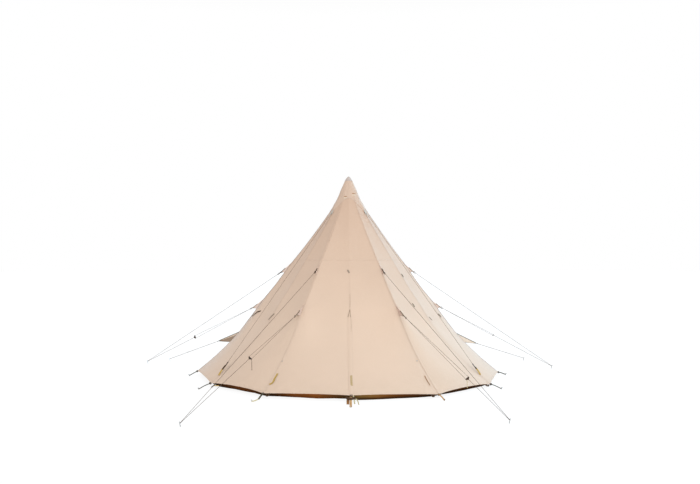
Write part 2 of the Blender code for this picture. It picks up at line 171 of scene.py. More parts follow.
# Straps at a hem corner: look, width and (away from the corner, aside, height) spots. The first ends at the
# corner's peg.
ANCHOR_STRAPS = {
    0: (
        ("peach", 0.036, (
            (0.04, -0.004, 0.072), (0.14, -0.008, 0.055), (0.34, -0.010, 0.018), (0.54, -0.014, 0.012),
        )),
        ("rust", 0.042, ((0.04, -0.040, 0.070), (0.12, -0.050, 0.045), (0.32, -0.052, 0.012))),
        ("straw", 0.020, ((0.0, 0.034, 0.088), (0.14, 0.044, 0.05), (0.28, 0.050, 0.010))),
        ("straw", 0.016, (
            (0.03, 0.040, 0.066), (0.12, 0.080, 0.052), (0.20, 0.098, 0.038), (0.34, 0.112, 0.009),
        )),
        ("umber", 0.044, (
            (0.08, -0.085, 0.076), (0.15, -0.040, 0.070), (0.16, 0.010, 0.068), (0.08, 0.060, 0.072),
        )),
    ),
    1: (
        ("peach", 0.023, ((0.0, -0.012, 0.060), (0.10, -0.03, 0.040), (0.26, -0.09, 0.010))),
        ("umber", 0.022, (
            (0.0, -0.155, 0.062), (0.03, -0.15, 0.042), (0.03, -0.12, 0.042), (0.0, -0.11, 0.058),
        )),
    ),
    2: (
        ("olive", 0.016, ((0.0, 0.0, 0.05), (0.12, -0.07, 0.035), (0.25, -0.156, 0.012))),
        ("umber", 0.022, (
            (-0.035, -0.14, 0.05), (-0.005, -0.13, 0.035), (0.0, -0.09, 0.034), (-0.02, -0.07, 0.048),
        )),
    ),
    3: (("olive", 0.018, ((0.0, 0.0, 0.05), (0.06, -0.03, 0.035), (0.13, -0.08, 0.012))),),
    9: (("olive", 0.016, ((0.0, 0.0, 0.08), (0.06, 0.05, 0.05), (0.135, 0.12, 0.012))),),
    10: (
        ("olive", 0.016, ((0.0, 0.0, 0.07), (0.12, 0.055, 0.05), (0.26, 0.125, 0.012))),
        ("olive", 0.020, ((-0.03, 0.125, 0.068), (0.0, 0.125, 0.045), (0.034, 0.121, 0.020))),
        ("ochre", 0.018, ((-0.055, 0.235, 0.058), (-0.03, 0.17, 0.050), (-0.02, 0.13, 0.048))),
    ),
    11: (
        ("straw", 0.018, (
            (0.17, 0.06, 0.040), (0.24, 0.07, 0.026), (0.30, 0.055, 0.014), (0.35, 0.033, 0.010),
        )),
        ("olive", 0.028, ((0.0, 0.0, 0.076), (0.11, 0.035, 0.055), (0.23, 0.075, 0.028))),
        ("umber", 0.022, ((0.0, 0.115, 0.074), (0.03, 0.11, 0.052), (0.03, 0.08, 0.052), (0.0, 0.07, 0.070))),
    ),
}
PLAIN_ANCHOR = (("olive", 0.022, ((0.0, 0.0, 0.07), (0.06, 0.0, 0.05), (0.15, 0.0, 0.012))),)
STRAP_FACING = Vector((0, -1, 0.7))
# Thickness and widths of the webbing
STRAP_THICK = 0.002
WEBBING_THICK = 0.0022
CAP_TAB_WIDTH = 0.02
GUY_TAB_WIDTH = 0.014
HOOD_EDGE_WIDTH = 0.014
HOOD_BASE_WIDTH = 0.016
HOOD_TIP_WIDTH = 0.018
LOOP_WIDTH = 0.007
PEG_LOOP_WIDTH = 0.010
# Rings and rims as (radius, radius of the wire)
CAP_RING = (0.012, 0.002)
TAB_RING = (0.016, 0.0034)
SLIDER_RIM = (0.0034, 0.0011)
HOOD_RING = (0.009, 0.0018)
EYELET_RING = (0.009, 0.0028)
ANCHOR_RING = (0.014, 0.005)

# Where the cloth is pulled: seam parity, height, fold size, number of folds and their reach
PULLS = (
    (1, UPPER_GUY, 0.0050, 5, 0.26),
    (1, LOWER_GUY, 0.0055, 5, 0.28),
    (1, HEM_HEIGHT, 0.0070, 6, 0.30),
    (0, HEM_HEIGHT, 0.0060, 6, 0.28),
    (0, 1.20, 0.0020, 4, 0.16),
)
# Slack of the cloth between its seams: scale and size of its waves
SLACK_WAVES = ((1.1, 0.0045), (4.3, 0.0018))

# Lights: name, azimuth from the door, elevation, energy and colour
LIGHTS = (
    ("key", 11, 38, 2.33, (0.87, 1.02, 1.16)),
    ("fill", 130, 25, 2.2, (0.45, 0.87, 1.23)),
)
LIGHT_WIDTH = 50
# The sky's strength goes from 1 to SKY_TOP between these two upward shares of its direction
SKY_FADE = (0.25, 0.70)
SKY_TOP = 0.6
FLOOR_HEIGHT = -0.0005
FLOOR_RADII = (60.0, 14.0, 5.0, 0.0)

UP = Vector((0, 0, 1))
MERGE = 0.00002
SHARP_EDGE = 50
STITCH_PITCH = 0.0042
THREAD_RADIUS = 0.0006


# Camera


def add_camera():
    """Stands where the photograph was taken: 16 m from the pole, at 2.4 m."""
    focal_pixels, distance, height = 874.87, 16.040, 2.442
    pan, pitch, round_tent = math.radians(0.0893), math.radians(0.0178), math.radians(0.8077)
    camera = bpy.data.cameras.new("camera")
    camera.sensor_width = 36
    camera.lens = focal_pixels * 36 / 700
    camera.clip_end = 300
    holder = bpy.data.objects.new("camera", camera)
    holder.location = (-distance * math.sin(round_tent), -distance * math.cos(round_tent), height)
    holder.rotation_euler = (math.pi / 2 - pitch, 0, -(round_tent + pan))
    bpy.context.scene.collection.objects.link(holder)
    bpy.context.scene.camera = holder


# Shape of the tent


def along(points, key):
    """The value at key on a line of (key, value) points, level past its ends."""
    key = min(max(key, points[0][0]), points[-1][0])
    for (key_a, value_a), (key_b, value_b) in zip(points, points[1:]):
        if key <= key_b:
            break
    return value_a + (value_b - value_a) * (key - key_a) / (key_b - key_a)


def smooth(points, key):
    """The value at key on a smooth curve through (key, value) points."""
    slopes = [(after[1] - before[1]) / (after[0] - before[0]) for before, after in zip(points, points[1:])]
    slopes = [slopes[0]] + [(one + two) / 2 for one, two in zip(slopes, slopes[1:])] + [slopes[-1]]
    place = max(index for index in range(len(points) - 1) if points[index][0] <= key or index == 0)
    (key_a, value_a), (key_b, value_b) = points[place], points[place + 1]
    step = key_b - key_a
    way = (key - key_a) / step
    bend_a = way * (1 - way) ** 2 * step * slopes[place]
    bend_b = way**2 * (1 - way) * step * slopes[place + 1]
    return value_a + (value_b - value_a) * way**2 * (3 - 2 * way) + bend_a - bend_b


def polar(degrees, radius, height):
    """A point by its angle from the door, or a direction where the radius is 1 and the height 0."""
    angle = math.radians(degrees)
    return Vector((radius * math.sin(angle), -radius * math.cos(angle), height))


def seam_radius(seam, height):
    spread = SPREAD[seam % SIDES] * min(1.0, max(0.0, (SPREAD_TOP - height) / SPREAD_FADE))
    return smooth(GUYED_SEAM, height) * (1.0 if seam % 2 else along(SLACK_SHARE, height)) + spread


def corner_height(seam):
    return HEM_HEIGHT + HEM_CORNER_RISE[seam % SIDES]


def hem_height(place):
    """The arched hem: lowest at the corners, which don't all hang at one height."""
    panel = math.floor(place)
    across = place - panel
    start, end = corner_height(panel), corner_height(panel + 1)
    return start + (end - start) * across + HEM_RISE[panel % SIDES] * (1 - abs(2 * across - 1) ** 2.5)


def folds(place, height, width):
    """How far tension folds and slackness lift the cloth, outwards."""
    seam = round(place)
    aside = (place - seam) * width
    fade = math.cos(math.pi * (place - seam)) ** 2
    lift = 0.0
    for parity, centre, size, count, reach in PULLS:
        if seam % 2 != parity:
            continue
        rise = (height - centre) * CLOTH_PER_HEIGHT
        away = math.hypot(aside, rise)
        turn = math.atan2(aside, rise)
        lift += size * fade * math.exp(-away / reach) * min(1.0, away / 0.08) * math.cos(count * turn)
    spot = polar(place * SEAM_STEP, 2.0, height * 0.8)
    slack = min(1.0, width / 0.7)
    return lift + slack * sum(size * noise.noise(spot * scale) for scale, size in SLACK_WAVES)


def cloth(place, height):
    """A point on the canvas."""
    panel = math.floor(place)
    across = place - panel
    start = polar(panel * SEAM_STEP, seam_radius(panel, height), height)
    end = polar((panel + 1) * SEAM_STEP, seam_radius(panel + 1, height), height)
    width = (end - start).length
    swell = width * along(WALL_SWELL, height) * 4 * across * (1 - across)
    outwards = polar((panel + 0.5) * SEAM_STEP, 1, 0)
    return start.lerp(end, across) + outwards * (folds(place, height, width) + swell)


def surface_frame(place, height):
    """A point on the canvas with the directions across, up and out there."""
    step = 0.01
    up = (cloth(place, height + step) - cloth(place, height - step)).normalized()
    aside = polar(place * SEAM_STEP + 90, 1, 0)
    return cloth(place, height), aside, up, aside.cross(up).normalized()


def panel_width(height):
    return (cloth(1, height) - cloth(0, height)).length


def lengths(path):
    """How far along a path each of its points is."""
    runs = [0.0]
    for before, after in zip(path, path[1:]):
        runs.append(runs[-1] + math.dist(before, after))
    return runs


def slant(height):
    """The way up a guyed seam from the ground to a height."""
    heights = [height * step / 24 for step in range(25)]
    return lengths([(seam_radius(1, level), level) for level in heights])[-1]


def curve(points, steps=8):
    """A smooth path through a few points."""
    path = []
    last = len(points) - 1
    for index in range(last):
        before, start, end, after = (points[min(max(index + shift, 0), last)] for shift in (-1, 0, 1, 2))
        slope = end - before
        bend = 2 * before - 5 * start + 4 * end - after
        twist = 3 * start - before - 3 * end + after
        for step in range(steps):
            way = step / steps
            path.append(0.5 * (2 * start + slope * way + bend * way**2 + twist * way**3))
    return [*path, points[-1]]


# Gathering meshes


class Shape:
    """Quads with cloth coordinates (across and along the cloth, in metres) and looks, made into one piece."""

    def __init__(self, look):
        self.look = look
        self.points = []
        self.faces = []
        self.places = []
        self.looks = []

    def grid(self, rows, places, look=None):
        first = len(self.points)
        wide = len(rows[0])
        flat_places = [place for row in places for place in row]
        for row in rows:
            self.points += row
        for row in range(len(rows) - 1):
            for column in range(wide - 1):
                low = row * wide + column
                corners = (low, low + 1, low + wide + 1, low + wide)
                self.faces.append([first + corner for corner in corners])
                self.places.append([flat_places[corner] for corner in corners])
                self.looks.append(look or self.look)

    def net(self, rows, columns, spot, look=None):
        """A grid from a function that gives the point and the cloth coordinates at a row and a column."""
        cells = [[spot(row, column) for column in columns] for row in rows]
        points, places = ([[cell[part] for cell in line] for line in cells] for part in (0, 1))
        self.grid(points, places, look)

    def sweep(self, path, outline, face, look=None):
        """A closed bar: an outline of (across, out) points carried along a path, with out towards face."""
        rows, places = [], []
        outline = [*outline, outline[0]]
        around = lengths(outline)
        for index, (point, run) in enumerate(zip(path, lengths(path))):
            ahead = path[min(index + 1, len(path) - 1)] - path[max(index - 1, 0)]
            facing = face[index] if isinstance(face, list) else face
            aside = ahead.cross(facing).normalized()
            outwards = aside.cross(ahead).normalized()
            rows.append([point + aside * across + outwards * out for across, out in outline])
            places.append([(place, run) for place in around])
        rows = [[path[0]] * len(outline), *rows, [path[-1]] * len(outline)]
        self.grid(rows, [places[0], *places, places[-1]], look)

    def cord(self, path, radius, look=None):
        ahead = path[-1] - path[0]
        facing = UP if abs(ahead.normalized().z) < 0.98 else Vector((1, 0, 0))
        turns = [math.pi * side / 4 for side in range(8)]
        outline = [(radius * math.cos(turn), -radius * math.sin(turn)) for turn in turns]
        self.sweep(path, outline, facing, look)

    def strap(self, path, width, thick, face, look=None):
        half, flat = width / 2, width / 2 - thick * 0.4
        outline = [(-half, thick * 0.3), (-half, thick * 0.7), (-flat, thick), (flat, thick)]
        outline += [(half, thick * 0.7), (half, thick * 0.3), (flat, 0), (-flat, 0)]
        self.sweep(path, outline, face, look)

    def ring(self, centre, axis, radius, thick, look=None, sides=24):
        """A round wire ring."""
        axis = axis.normalized()
        one = axis.orthogonal().normalized()
        two = axis.cross(one)
        rows, places = [], []
        for step in range(sides + 1):
            turn = 2 * math.pi * step / sides
            middle = one * math.cos(turn) * radius + two * math.sin(turn) * radius
            outwards = middle.normalized()
            angles = [-2 * math.pi * small / 8 for small in range(9)]
            wire = [(outwards * math.cos(angle) + axis * math.sin(angle)) * thick for angle in angles]
            rows.append([centre + middle + out for out in wire])
            places.append([(thick * math.pi * small / 4, radius * turn) for small in range(9)])
        self.grid(rows, places, look)

    def plate(self, centre, side, way, outline, thick, look=None):
        """A flat plate with softened edges, from (across, along) points round its centre."""
        normal = side.cross(way).normalized()
        outline = [*outline, outline[0]]
        rows, places = [], []
        for lift, grow in ((-1.0, 0.0), (-1.0, 0.85), (-0.6, 1.0), (0.6, 1.0), (1.0, 0.85), (1.0, 0.0)):
            middle = centre + normal * lift * thick / 2
            rows.append([middle + side * across * grow + way * down * grow for across, down in outline])
            places.append([(across * grow, down * grow) for across, down in outline])
        self.grid(rows, places, look)

    def made(self, name, slot):
        mesh = bpy.data.meshes.new(name)
        mesh.from_pydata(self.points, [], self.faces)
        layer = mesh.uv_layers.new(name="cloth")
        for index, place in enumerate(place for face in self.places for place in face):
            layer.uv[index].vector = place
        looks = list(dict.fromkeys(self.looks))
        for look in looks:
            mesh.materials.append(LOOKS[look])
        mesh.polygons.foreach_set("material_index", [looks.index(look) for look in self.looks])
        shape = bmesh.new()
        shape.from_mesh(mesh)
        bmesh.ops.remove_doubles(shape, verts=shape.verts, dist=MERGE)
        bmesh.ops.dissolve_degenerate(shape, edges=shape.edges, dist=MERGE / 20)
        shape.to_mesh(mesh)
        shape.free()
        mesh.shade_smooth()
        mesh.set_sharp_from_angle(angle=math.radians(SHARP_EDGE))
        piece = bpy.data.objects.new(name, mesh)
        bpy.context.scene.collection.objects.link(piece)
        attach(piece, "root")
        return piece


# Materials


class Look:
    """A Principled material, with short calls that add its nodes."""

    def __init__(self, name, colour, roughness, gloss=0.5, **sockets):
        self.material = bpy.data.materials.new(name)
        self.material.use_nodes = True
        self.material.diffuse_color = (*colour, 1)
        self.tree = self.material.node_tree
        self.shader = self.tree.nodes["Principled BSDF"]
        self.shader.inputs["Roughness"].default_value = roughness
        self.shader.inputs["Specular IOR Level"].default_value = gloss
        for socket, value in sockets.items():
            self.shader.inputs[socket.replace("_", " ")].default_value = value
        self.colour = colour
        self.height = None

    def node(self, kind, *values, output=0, **settings):
        """Adds a node, fills its inputs in order (a None is skipped) and gives back one output."""
        made = self.tree.nodes.new(kind)
        for key, value in settings.items():
            setattr(made, key, value)
        for socket, value in zip(made.inputs, values):
            if isinstance(value, bpy.types.NodeSocket):
                self.tree.links.new(value, socket)
            elif value is not None:
                socket.default_value = value
        return made.outputs[output]

    def maths(self, operation, *values):
        return self.node("ShaderNodeMath", *values, operation=operation)

    def spots(self, scale, detail=3.0, stretch=(1, 1, 1), on_cloth=False):
        """Noise from 0 to 1 over the object, or over its cloth coordinates."""
        if on_cloth:
            where = self.node("ShaderNodeUVMap", uv_map="cloth")
        else:
            where = self.node("ShaderNodeTexCoord", output=3)
        moved = self.node("ShaderNodeVectorMath", where, stretch, operation="MULTIPLY")
        return self.node("ShaderNodeTexNoise", moved, None, scale, detail)

    def range(self, value, low, high, to_low, to_high):
        return self.node("ShaderNodeMapRange", value, low, high, to_low, to_high)

    def split(self, vector):
        made = self.tree.nodes.new("ShaderNodeSeparateXYZ")
        self.tree.links.new(vector, made.inputs[0])
        return made.outputs

    def cloth_axes(self):
        return self.split(self.node("ShaderNodeUVMap", uv_map="cloth"))[:2]

    def object_axes(self):
        return self.split(self.node("ShaderNodeTexCoord", output=3))

    def blend(self, share, colour, way="MIX"):
        """Mixes a colour over what is there."""
        mixed = self.tree.nodes.new("ShaderNodeMix")
        mixed.data_type = "RGBA"
        mixed.blend_type = way
        for socket, value in ((0, share), (6, self.colour), (7, colour)):
            if isinstance(value, bpy.types.NodeSocket):
                self.tree.links.new(value, mixed.inputs[socket])
            else:
                mixed.inputs[socket].default_value = value if socket == 0 else (*value, 1)
        self.colour = mixed.outputs[2]

    def shade(self, value, low, high):
        """Multiplies the colour by low to high as value goes from 0 to 1."""
        grey = self.range(value, 0.0, 1.0, low, high)
        self.blend(1.0, self.node("ShaderNodeCombineXYZ", grey, grey, grey), "MULTIPLY")

    def raise_by(self, value, size):
        """Adds value times size, in metres, to the bump height."""
        part = self.maths("MULTIPLY", value, size)
        self.height = part if self.height is None else self.maths("ADD", self.height, part)

    def roughen(self, scale, detail, low, smoothest, roughest):
        """Varies the roughness in patches."""
        rough = self.range(self.spots(scale, detail), low, 0.8, smoothest, roughest)
        self.tree.links.new(rough, self.shader.inputs["Roughness"])

    def sine(self, value, turn):
        return self.maths("SINE", self.maths("MULTIPLY", value, turn))

    def waves(self, across_pitch, along_pitch):
        """The over and under of threads, from -1 to 1."""
        across, along_it = self.cloth_axes()
        one, two = self.sine(across, math.pi / across_pitch), self.sine(along_it, math.pi / along_pitch)
        return self.maths("MULTIPLY", one, two)

    def stitches(self, lines, thread):
        """Rows of stitches at distances across the cloth."""
        across, along_it = self.cloth_axes()
        on = self.maths("LESS_THAN", self.maths("FRACT", self.maths("DIVIDE", along_it, STITCH_PITCH)), 0.68)
        for line in lines:
            away = self.maths("ABSOLUTE", self.maths("SUBTRACT", across, line))
            near = self.maths("LESS_THAN", away, THREAD_RADIUS)
            mask = self.maths("MULTIPLY", near, on)
            self.blend(mask, thread)
            self.raise_by(mask, 0.0004)

    def finished(self):
        self.tree.links.new(self.colour, self.shader.inputs["Base Color"])
        if self.height is not None:
            made = self.node("ShaderNodeBump", 1.0, 1.0, None, self.height)
            self.tree.links.new(made, self.shader.inputs["Normal"])
        return self.material


def canvas_look(name, colour, stitches=(), top_shade_and_dust=False):
    """Cotton canvas: a plain weave with slubs and cloudy dye, and optionally a painted top shade and dust low
    down.
    """
    look = Look(name, colour, 0.88, 0.3, Sheen_Weight=0.2, Sheen_Roughness=0.4)
    look.blend(look.range(look.spots(0.9, 2.0), 0.3, 0.75, 0.0, 0.6), [part * 1.06 for part in colour])
    look.shade(look.spots(2.6, 4.0), 0.97, 1.025)
    look.shade(look.spots(1.0, 3.0, (230, 9, 1), True), 0.978, 1.022)
    if top_shade_and_dust:
        height = look.object_axes()[2]
        # Painted shade: the canvas is darkened towards the top.
        look.blend(look.range(height, 1.0, 3.1, 0.0, 1.0), PAINTED_TOP_SHADE, "MULTIPLY")
        dust = look.range(height, 0.02, 0.42, 1.0, 0.0)
        cloud = look.maths("MULTIPLY", dust, look.range(look.spots(7.0, 5.0), 0.35, 0.8, 0.0, 0.30))
        look.blend(cloud, (0.44, 0.32, 0.22))
    weave = look.waves(0.0011, 0.0011)
    look.shade(weave, 0.99, 1.0)
    look.raise_by(weave, 0.00018)
    look.raise_by(look.spots(1.0, 3.0, (420, 14, 1), True), 0.00025)
    look.raise_by(look.spots(14.0, 3.0), 0.0018)
    look.stitches(stitches, [part * 0.93 for part in colour])
    look.roughen(30.0, 2.0, 0.2, 0.8, 0.95)
    return look.finished()


def skirt_look():
    """Coated dark brown cloth, dusty in patches: orange painted light mid-panel, painted shade at corners and
    foot.
    """
    look = Look("skirt_coated", (0.022, 0.010, 0.004), 0.6, 0.0)
    across, along_it = look.cloth_axes()
    # Painted light: orange in the middle of each panel; its dark corners are painted shade.
    lit_bulge = look.sine(across, math.pi / SKIRT_PANEL)
    lit_bulge = look.maths("MULTIPLY", lit_bulge, lit_bulge)
    from_door = look.object_axes()[0]
    # Painted shade: less orange on the side panels, varied in random patches.
    beside = look.range(look.maths("ABSOLUTE", from_door), 1.3, 1.5, 1.0, 0.35)
    worn = look.range(look.spots(1.6, 3.0), 0.3, 0.7, 0.45, 1.0)
    # Painted shade along the foot, deeper on the right.
    foot = look.range(from_door, 0.0, 0.15, 0.55, 0.08)
    crown = look.range(from_door, 0.3, 0.7, 1.0, 0.6)
    high = look.range(along_it, 0.04, 0.12, foot, crown)
    for part in (worn, high, beside):
        lit_bulge = look.maths("MULTIPLY", lit_bulge, part)
    look.blend(lit_bulge, (0.29, 0.083, 0.016))
    right = look.range(from_door, -0.05, 0.15, 0.1, 0.55)
    door = look.range(look.maths("ABSOLUTE", from_door), 0.25, 0.75, 1.0, 0.0)
    look.blend(look.maths("MULTIPLY", look.maths("MULTIPLY", door, right), high), (0.28, 0.16, 0.045))
    look.blend(look.range(look.spots(22.0, 5.0), 0.6, 0.9, 0.0, 0.2), (0.26, 0.14, 0.06))
    look.raise_by(look.waves(0.0006, 0.0006), 0.00008)
    look.raise_by(look.spots(60.0, 4.0), 0.0010)
    look.roughen(18.0, 3.0, 0.3, 0.42, 0.74)
    return look.finished()


def webbing_look(name, colour):
    """Woven strap: ribs along it, picks across it, worn edges."""
    look = Look(name, colour, 0.8, 0.0)
    ribs = look.waves(0.0016, 0.0022)
    look.shade(ribs, 0.72, 1.0)
    look.shade(look.spots(40.0, 4.0), 0.82, 1.12)
    look.raise_by(ribs, 0.0005)
    look.raise_by(look.spots(160.0, 3.0), 0.0003)
    return look.finished()


def cord_look(name, colour, fleck):
    """Braided cord with lighter flecks."""
    look = Look(name, colour, 0.85, 0.0)
    across, along_it = look.cloth_axes()
    one, two = (look.sine(look.maths(way, across, along_it), 1900.0) for way in ("ADD", "SUBTRACT"))
    braid = look.maths("MULTIPLY", one, two)
    look.blend(look.range(braid, 0.3, 1.0, 0.0, 0.5), fleck)
    look.shade(look.spots(25.0, 3.0), 0.8, 1.2)
    look.raise_by(braid, 0.0004)
    return look.finished()


def metal_look(name, colour, roughness):
    """Metal with a brushed grain, dull patches and fine scratches."""
    look = Look(name, colour, roughness, Metallic=1.0)
    look.shade(look.spots(35.0, 5.0), 0.82, 1.06)
    look.shade(look.spots(1.0, 4.0, (300, 300, 6)), 0.92, 1.04)
    look.raise_by(look.spots(1.0, 4.0, (900, 900, 12)), 0.00006)
    look.roughen(50.0, 4.0, 0.25, roughness * 0.7, roughness * 1.5)
    return look.finished()


def plastic_look(name, colour):
    """Moulded plastic with a fine grain and scuffs."""
    look = Look(name, colour, 0.5, 0.06)
    look.blend(look.range(look.spots(45.0, 6.0), 0.6, 0.8, 0.0, 0.35), (0.10, 0.085, 0.07))
    look.raise_by(look.spots(900.0, 2.0), 0.00015)
    look.roughen(60.0, 3.0, 0.3, 0.38, 0.66)
    return look.finished()


def netting_look():
    """Fine insect netting: dark threads over a shadowed opening."""
    look = Look("netting", (0.03, 0.022, 0.016), 0.9)
    threads = look.waves(0.0014, 0.0014)
    look.blend(look.range(threads, 0.2, 0.9, 0.0, 0.6), (0.13, 0.10, 0.075))
    look.raise_by(threads, 0.0004)
    return look.finished()


def floor_look():
    """Plain pale studio floor with a faint unevenness, lit a little from within to stay shadowless."""
    glow = {"Emission_Color": (1, 1, 1, 1), "Emission_Strength": 0.90}
    look = Look("studio_floor", (0.07, 0.068, 0.066), 0.9, **glow)
    look.shade(look.spots(0.35, 3.0), 0.985, 1.0)
    return look.finished()


SAND = (0.56, 0.400, 0.291)
SEWN_SAND = (0.549, 0.390, 0.283)
# Painted shade: the colour the upper canvas is multiplied by.
PAINTED_TOP_SHADE = (0.855, 0.795, 0.765)
WEBBINGS = {
    "grey": (0.62, 0.55, 0.47),
    "tan": (0.34, 0.235, 0.155),
    "ochre": (0.54, 0.34, 0.095),
    "khaki": (0.54, 0.38, 0.195),
    "dun": (0.36, 0.27, 0.20),
    "straw": (0.62, 0.50, 0.28),
    "peach": (0.62, 0.34, 0.15),
    "rust": (0.36, 0.165, 0.065),
    "olive": (0.10, 0.09, 0.06),
    "umber": (0.085, 0.048, 0.027),
}
LOOKS = {}


def make_looks():
    LOOKS["canvas"] = canvas_look("canvas_sand", SAND, top_shade_and_dust=True)
    # The cap and its binding are painted darker than the walls, like the walls' painted top shade.
    LOOKS["cap"] = canvas_look("canvas_cap", (0.49, 0.342, 0.250))
    LOOKS["tape"] = canvas_look("canvas_seam", SEWN_SAND, (-0.0075, 0.0075), True)
    LOOKS["hem"] = canvas_look("canvas_hem", (0.55, 0.393, 0.286), (0.011,), True)
    LOOKS["flap"] = canvas_look("canvas_flap", SEWN_SAND, (-0.034, 0.034, -0.030), True)
    LOOKS["binding"] = canvas_look("canvas_binding", (0.48, 0.335, 0.245), (-0.004, 0.004))
    LOOKS["tip"] = canvas_look("canvas_tip", (0.43, 0.34, 0.29))
    LOOKS["gusset"] = canvas_look("canvas_gusset", (0.56, 0.41, 0.33), (-0.004, 0.004))
    # The hoods' cheeks as a shaded and a lit copy: painted shade in dark brown, painted light in peach.
    LOOKS["hood_left"] = canvas_look("canvas_hood_shaded_brown", (0.24, 0.145, 0.080))
    LOOKS["hood_right"] = canvas_look("canvas_hood_lit_peach", (0.58, 0.40, 0.27))
    LOOKS["skirt"] = skirt_look()
    LOOKS["thread"] = webbing_look("thread_pale", (0.78, 0.64, 0.46))
    for name, colour in WEBBINGS.items():
        LOOKS[name] = webbing_look(f"webbing_{name}", colour)
    LOOKS["line"] = cord_look("cord_brown", (0.12, 0.078, 0.054), (0.22, 0.165, 0.125))
    LOOKS["steel"] = metal_look("steel_dull", (0.46, 0.455, 0.44), 0.42)
    LOOKS["tube"] = metal_look("tube_satin", (0.66, 0.665, 0.67), 0.34)
    LOOKS["plastic"] = plastic_look("plastic_black", (0.018, 0.017, 0.016))
    LOOKS["toggle"] = plastic_look("plastic_brown", (0.055, 0.033, 0.022))
    LOOKS["netting"] = netting_look()


# Canvas


def wall_spot(row, where):
    """A point of the walls and where it is on its own flat gore."""
    panel, column = where
    across = column / WALL_COLUMNS
    place = panel + across
    low = hem_height(place if column < WALL_COLUMNS else place - 1e-9)
    height = low + (WALL_TOP - low) * (row / WALL_ROWS)
    flat = (across - 0.5) * along(WIDTHS, height) + panel * GORE_PITCH
    return cloth(place, height), (flat, along(SLANTS, height))


def canvas_walls():
    """One continuous sheet of twelve gores from the hem to the pole head."""
    shape = Shape("canvas")
    for panel in range(SIDES):
        shape.net(range(WALL_ROWS + 1), [(panel, column) for column in range(WALL_COLUMNS + 1)], wall_spot)
    piece = shape.made("canvas_walls", "canvas")
    soften_creases(piece.data)
    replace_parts(piece, *[f"wall_panel_{number:02d}" for number in range(1, SIDES + 1)])
    return piece


def soften_creases(mesh):
    """Turns the normals beside each seam towards it, as cloth that rounds over softly low down."""
    normals = []
    for vertex in mesh.vertices:
        x, y, height = vertex.co
        place = math.degrees(math.atan2(x, -y)) / SEAM_STEP
        seam = round(place)
        beside = place - seam
        soft = along(SOFT_CREASE, height)
        normal = vertex.normal.copy()
        if 0.01 < abs(beside) < soft:
            next_seam = seam + (1 if beside > 0 else -1)
            here, there = (polar(one * SEAM_STEP, seam_radius(one, height), 0) for one in (seam, next_seam))
            chord = (there - here) * (next_seam - seam)
            turn = (seam * SEAM_STEP - math.degrees(math.atan2(chord.y, chord.x)) + 180) % 360 - 180
            normal.rotate(Matrix.Rotation(math.radians(turn * (1 - abs(beside) / soft)), 3, "Z"))
        normals.append(normal)
    mesh.normals_split_custom_set_from_vertices(normals)


def surface_tape(shape, spots, thick):
    """A flat tape sewn on the cloth along (point, across, out) spots: its edges meet the cloth."""
    half = TAPE_WIDTH / 2
    section = ((-half, 0.0), (-half + 0.0015, thick), (0.0, thick * 1.1), (half - 0.0015, thick), (half, 0.0))
    line = [here + out * 0.0002 for here, _, out in spots]
    rows = [
        [point + aside * across + out * lift for across, lift in section]
        for point, (_, aside, out) in zip(line, spots)
    ]
    shape.grid(rows, [[(across, run) for across, _ in section] for run in lengths(line)])


def seam_tapes():
    """The felled seams between the gores and the seam round the top, each with two rows of stitches."""
    shape = Shape("tape")
    for seam in range(SIDES):
        low = corner_height(seam) + 0.004
        high = WALL_TOP - 0.03 if seam else DOOR_SEAM_TOP
        spots = [surface_frame(seam, low + (high - low) * step / 90) for step in range(91)]
        surface_tape(shape, [(here, aside, out) for here, aside, _, out in spots], TAPE_THICK)
    spots = [surface_frame(step / 12, BODICE_SEAM) for step in range(SIDES * 12 + 1)]
    surface_tape(shape, [(here, -up, out) for here, _, up, out in spots], BODICE_THICK)
    return shape.made("seam_tapes", "canvas")


def hem_band():
    """The turned-up hem: a doubled edge along the bottom of the canvas."""
    shape = Shape("hem")
    section = (
        (-0.0025, 0.034), (-0.004, 0.0), (-0.001, -0.0025),
        (0.0022, -0.001), (0.0026, 0.004), (0.0008, 0.032),
    )
    spots = [surface_frame(step / 24, hem_height(step / 24)) for step in range(SIDES * 24 + 1)]
    runs = lengths([here for here, _, _, _ in spots])
    rows = [[here + out * away + up * rise for here, _, up, out in spots] for away, rise in section]
    shape.grid(rows, [[(rise, run) for run in runs] for _, rise in section])
    return shape.made("hem_band", "canvas")


def skirt():
    """The mud skirt: gathered along the hem and tucked in to a circle on the ground under the tent."""
    shape = Shape("skirt")

    def spot(way, place):
        here, _, up, out = surface_frame(place, hem_height(place))
        top = here - out * 0.004 + up * 0.012
        foot = polar(place * SEAM_STEP, along(SKIRT_FOOT, place), 0.0015)
        pucker = 0.009 * noise.noise(Vector((place * 9, way * 1.5, 0)))
        pucker += 0.004 * math.sin(place * 61 + way * 2)
        swell = polar(place * SEAM_STEP, 1, 0) * pucker * math.sin(math.pi * min(way * 1.15, 1.0))
        lift = UP * 0.010 * math.sin(math.pi * way) * noise.noise(Vector((place * 5, 3, 0)))
        return top.lerp(foot, way) + swell + lift, (place * SKIRT_PANEL, (1 - way) * SKIRT_HIGH)

    shape.net([row / 12 for row in range(12, -1, -1)], [step / 60 for step in range(SIDES * 60 + 1)], spot)
    piece = shape.made("mud_skirt", "skirt_cloth")
    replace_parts(piece, "hem_skirt")
    return piece


# Cap


def cap_edge(degrees):
    """The height of the cap's edge: arched between its four corners, most over the door and at the back."""
    corners = [seam * SEAM_STEP for seam in CAP_SEAMS]
    turned = (degrees - corners[-1]) % 360
    spans = [(corners[0] - corners[-1]) % 360]
    spans += [after - before for before, after in zip(corners, corners[1:])]
    for span in spans:
        if turned <= span:
            break
        turned -= span
    top = CAP_ARCH_TOP if span > 90 else CAP_SIDE_TOP
    return CAP_CORNER + (top - CAP_CORNER) * math.sin(math.pi * turned / span) ** 0.8


